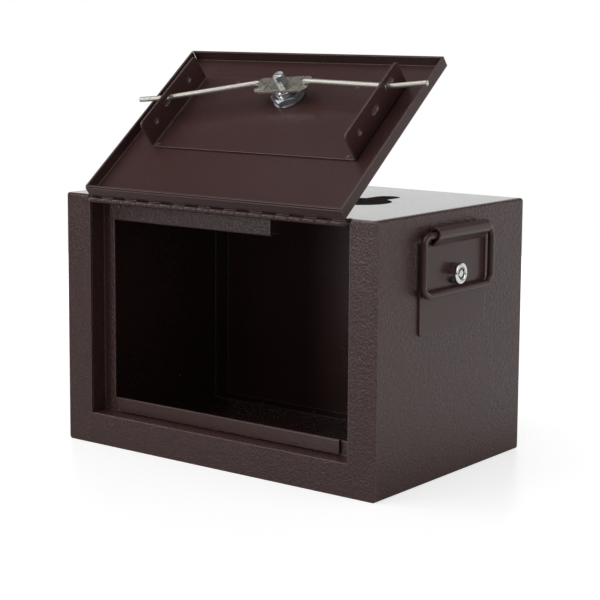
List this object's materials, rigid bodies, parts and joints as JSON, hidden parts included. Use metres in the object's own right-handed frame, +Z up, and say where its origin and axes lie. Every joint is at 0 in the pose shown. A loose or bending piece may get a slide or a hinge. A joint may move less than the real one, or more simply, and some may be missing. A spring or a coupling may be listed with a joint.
{
  "type": "key drop box",
  "caption": "Folded steel key drop box with a lift-up lid, rod latch, keyhole drop opening, bail handle and side lock.",
  "frame": {"origin": "centre of the case's underside, on the surface the box stands on", "axes": "+X right along the front, +Y from the front to the back, +Z up"},
  "size_m": [0.3152, 0.2074, 0.3151],
  "materials": {
    "brown_powder_coat": "semi-gloss dark brown powder coat with a fine texture",
    "nickel_plate": "bright nickel plate",
    "zinc_plate": "bright zinc plate",
    "chrome_plate": "polished chrome"
  },
  "bodies": {
    "case": {"case_wrap": "brown_powder_coat", "top_sheet": "brown_powder_coat", "left_stop_angle": "brown_powder_coat", "right_stop_angle": "brown_powder_coat", "bottom_stop_angle": "brown_powder_coat", "sill_bar": "brown_powder_coat", "top_apron": "brown_powder_coat", "back_panel": "brown_powder_coat", "hinge_case_leaf": "brown_powder_coat", "hinge_pin": "nickel_plate", "handle_plate": "brown_powder_coat", "side_lock_barrel": "chrome_plate", "side_lock_nut": "zinc_plate"},
    "lid": {"lid_pan": "brown_powder_coat", "hinge_lid_leaf": "brown_powder_coat", "latch_bracket": "brown_powder_coat", "lid_lock_barrel": "chrome_plate", "lid_lock_nut": "zinc_plate"},
    "latch": {"lid_lock_plug": "chrome_plate", "latch_cam": "nickel_plate", "latch_cam_washer": "zinc_plate", "latch_cam_screw": "zinc_plate"},
    "left_latch_rod": {"left_rod": "nickel_plate"},
    "right_latch_rod": {"right_rod": "nickel_plate"},
    "bail": {"bail_handle": "brown_powder_coat"},
    "side_cam": {"side_lock_plug": "chrome_plate", "side_lock_cam": "nickel_plate", "side_lock_screw": "zinc_plate"}
  },
  "joints": [
    {"name": "lid_hinge", "type": "hinge", "parent": "case", "child": "lid", "pos_m": [0, -0.1013, 0.199], "axis": [1, 0, 0], "range_deg": [0, 231]},
    {"name": "latch_turn", "type": "hinge", "parent": "lid", "child": "latch", "pos_m": [0.0022, -0.00509, 0.27691], "axis": [0, -0.6293, 0.7771], "range_deg": [0, 90]},
    {"name": "left_rod_swing", "type": "hinge", "parent": "latch", "child": "left_latch_rod", "pos_m": [-0.01769, -0.00671, 0.27559], "axis": [0, -0.6293, 0.7771], "range_deg": [-102, 0]},
    {"name": "right_rod_swing", "type": "hinge", "parent": "latch", "child": "right_latch_rod", "pos_m": [0.02209, -0.00346, 0.27823], "axis": [0, -0.6293, 0.7771], "range_deg": [-102, 0]},
    {"name": "bail_swing", "type": "hinge", "parent": "case", "child": "bail", "pos_m": [0.1576, -0.003, 0.1872], "axis": [0, -1, 0], "range_deg": [0, 185]},
    {"name": "side_cam_turn", "type": "hinge", "parent": "case", "child": "side_cam", "pos_m": [0.1525, -0.003, 0.1557], "axis": [1, 0, 0], "range_deg": [0, 90]}
  ],
  "couplings": [
    {"joint": "left_rod_swing", "follows": "latch_turn", "ratio": -1.13},
    {"joint": "right_rod_swing", "follows": "latch_turn", "ratio": -1.13}
  ]
}
